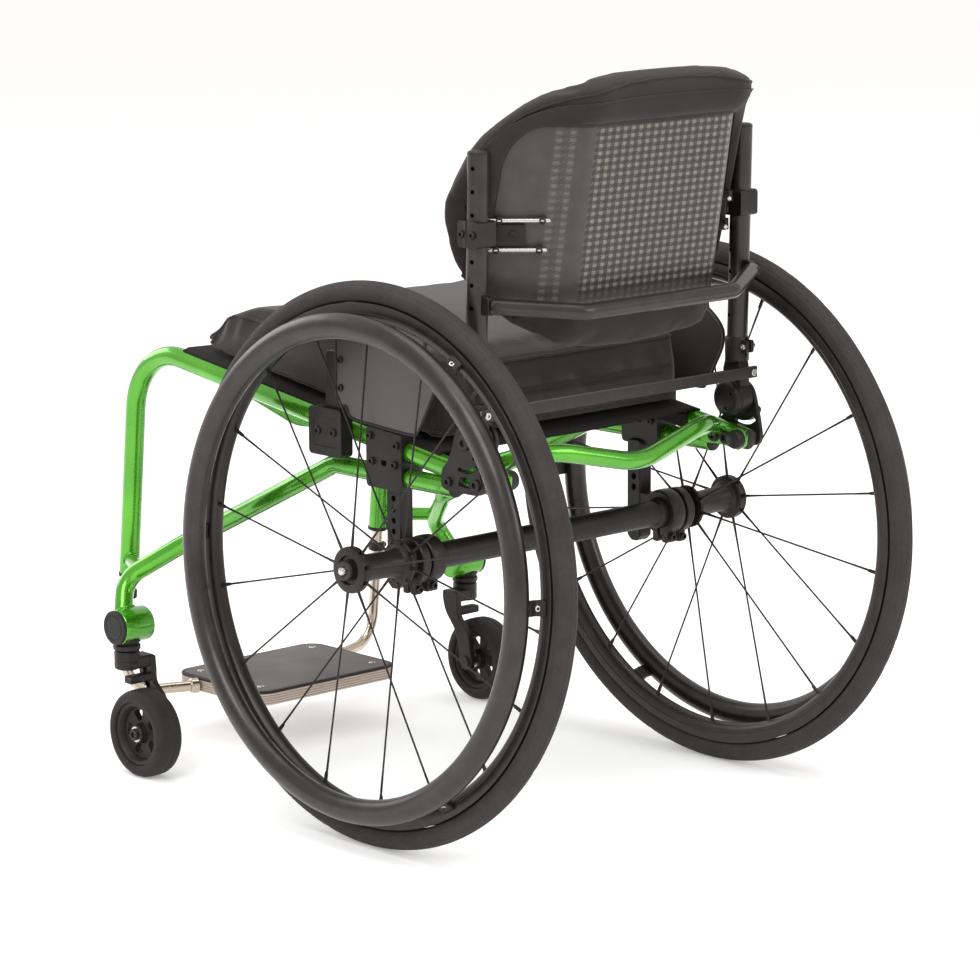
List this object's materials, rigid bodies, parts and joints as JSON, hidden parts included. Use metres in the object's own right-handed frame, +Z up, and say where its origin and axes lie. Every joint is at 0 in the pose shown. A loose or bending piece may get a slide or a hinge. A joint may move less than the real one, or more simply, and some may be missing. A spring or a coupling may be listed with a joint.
{
  "type": "manual wheelchair",
  "caption": "Rigid-frame manual wheelchair with cambered spoked wheels, swivelling casters, tubular footrest, seat cushion and contoured fold-forward back.",
  "frame": {"origin": "on the floor, under the middle of the overall box", "axes": "+Z up, the chair faces -Y, +X is the occupant's left"},
  "size_m": [0.6146, 0.825, 0.816],
  "materials": {
    "frame_green": "candy gloss",
    "black_hardware": "satin black",
    "anodised_dark": "dark satin anodised",
    "silver_hardware": "satin",
    "titanium": "polished bare metal",
    "tyre_rubber": "matt rubber",
    "caster_rubber": "smooth rubber",
    "black_nylon": "moulded nylon",
    "guard_panel": "dark satin composite",
    "seat_fabric": "black upholstery",
    "pad_fabric": "black stretch knit",
    "woven_shell": "clear-coated dark and pale weave",
    "layered_board": "bare layered edge",
    "grip_mat": "fine grit"
  },
  "bodies": {
    "frame": {"seat_rail_left": "frame_green", "seat_rail_right": "frame_green", "lower_tube_left": "frame_green", "lower_tube_right": "frame_green", "caster_barrel_left": "frame_green", "caster_barrel_right": "frame_green", "stem_housing_left": "black_hardware", "stem_housing_right": "black_hardware", "front_cross_tube": "frame_green", "rear_cross_tube": "frame_green", "camber_tube": "black_hardware", "axle_post_left": "black_hardware", "axle_post_right": "black_hardware", "camber_clamp_left": "black_hardware", "camber_clamp_right": "black_hardware", "axle_pin_left": "silver_hardware", "axle_pin_right": "silver_hardware", "leg_collar_left": "black_hardware", "leg_collar_right": "black_hardware", "seat_sling": "seat_fabric", "seat_cushion": "seat_fabric", "guard_receiver_left": "black_hardware", "guard_receiver_right": "black_hardware", "back_bracket_left": "black_hardware", "back_bracket_right": "black_hardware"},
    "back": {"cane_socket_left": "black_hardware", "cane_socket_right": "black_hardware", "back_cane_left": "anodised_dark", "back_cane_right": "anodised_dark", "cane_clamp_left": "black_hardware", "cane_clamp_right": "black_hardware", "back_shell": "woven_shell", "back_pad": "pad_fabric", "rigidizer_bar": "anodised_dark"},
    "release_strap": {"release_bar": "anodised_dark"},
    "footrest": {"foot_tube_left": "titanium", "foot_tube_right": "titanium", "footplate": "layered_board", "footplate_grip": "grip_mat"},
    "wheel_left": {"tyre_left": "tyre_rubber", "rim_left": "anodised_dark", "hub_and_spokes_left": "black_hardware", "handrim_left": "anodised_dark"},
    "button_left": {"axle_button_left": "silver_hardware"},
    "swivel_left": {"caster_fork_left": "black_hardware", "caster_bolt_left": "silver_hardware"},
    "roller_left": {"caster_tyre_left": "caster_rubber", "caster_core_left": "black_nylon"},
    "guard_left": {"side_guard_left": "guard_panel"},
    "wheel_right": {"tyre_right": "tyre_rubber", "rim_right": "anodised_dark", "hub_and_spokes_right": "black_hardware", "handrim_right": "anodised_dark"},
    "button_right": {"axle_button_right": "silver_hardware"},
    "swivel_right": {"caster_fork_right": "black_hardware", "caster_bolt_right": "silver_hardware"},
    "roller_right": {"caster_tyre_right": "caster_rubber", "caster_core_right": "black_nylon"},
    "guard_right": {"side_guard_right": "guard_panel"}
  },
  "joints": [
    {"name": "wheel_left_spin", "type": "hinge", "parent": "frame", "child": "wheel_left", "pos_m": [0.2525, 0.1125, 0.29985], "axis": [0.9995, 0, 0.0321], "continuous": true},
    {"name": "axle_button_left_press", "type": "slide", "parent": "frame", "child": "button_left", "axis": [0.9995, 0, 0.0321], "range_m": [-0.004, 0], "stiffness_N_per_m": 1200},
    {"name": "caster_left_swivel", "type": "hinge", "parent": "frame", "child": "swivel_left", "pos_m": [0.2595, -0.3045, 0.13], "axis": [0, 0, 1], "continuous": true},
    {"name": "caster_left_spin", "type": "hinge", "parent": "swivel_left", "child": "roller_left", "pos_m": [0.2595, -0.2735, 0.05], "axis": [1, 0, 0], "continuous": true},
    {"name": "side_guard_left_lift", "type": "slide", "parent": "frame", "child": "guard_left", "axis": [0, 0, 1], "range_m": [0, 0.04]},
    {"name": "wheel_right_spin", "type": "hinge", "parent": "frame", "child": "wheel_right", "pos_m": [-0.2525, 0.1125, 0.29985], "axis": [0.9995, 0, -0.0321], "continuous": true},
    {"name": "axle_button_right_press", "type": "slide", "parent": "frame", "child": "button_right", "axis": [-0.9995, 0, 0.0321], "range_m": [-0.004, 0], "stiffness_N_per_m": 1200},
    {"name": "caster_right_swivel", "type": "hinge", "parent": "frame", "child": "swivel_right", "pos_m": [-0.2595, -0.3045, 0.13], "axis": [0, 0, 1], "continuous": true},
    {"name": "caster_right_spin", "type": "hinge", "parent": "swivel_right", "child": "roller_right", "pos_m": [-0.2595, -0.2735, 0.05], "axis": [1, 0, 0], "continuous": true},
    {"name": "side_guard_right_lift", "type": "slide", "parent": "frame", "child": "guard_right", "axis": [0, 0, 1], "range_m": [0, 0.04]},
    {"name": "footrest_height", "type": "slide", "parent": "frame", "child": "footrest", "axis": [0, 0.0896, 0.996], "range_m": [0, 0.04]},
    {"name": "back_fold", "type": "hinge", "parent": "frame", "child": "back", "pos_m": [0, 0.2075, 0.438], "axis": [1, 0, 0], "range_deg": [0, 26]},
    {"name": "release_strap_pull", "type": "slide", "parent": "back", "child": "release_strap", "axis": [0, 0, 1], "range_m": [0, 0.008], "stiffness_N_per_m": 800}
  ]
}
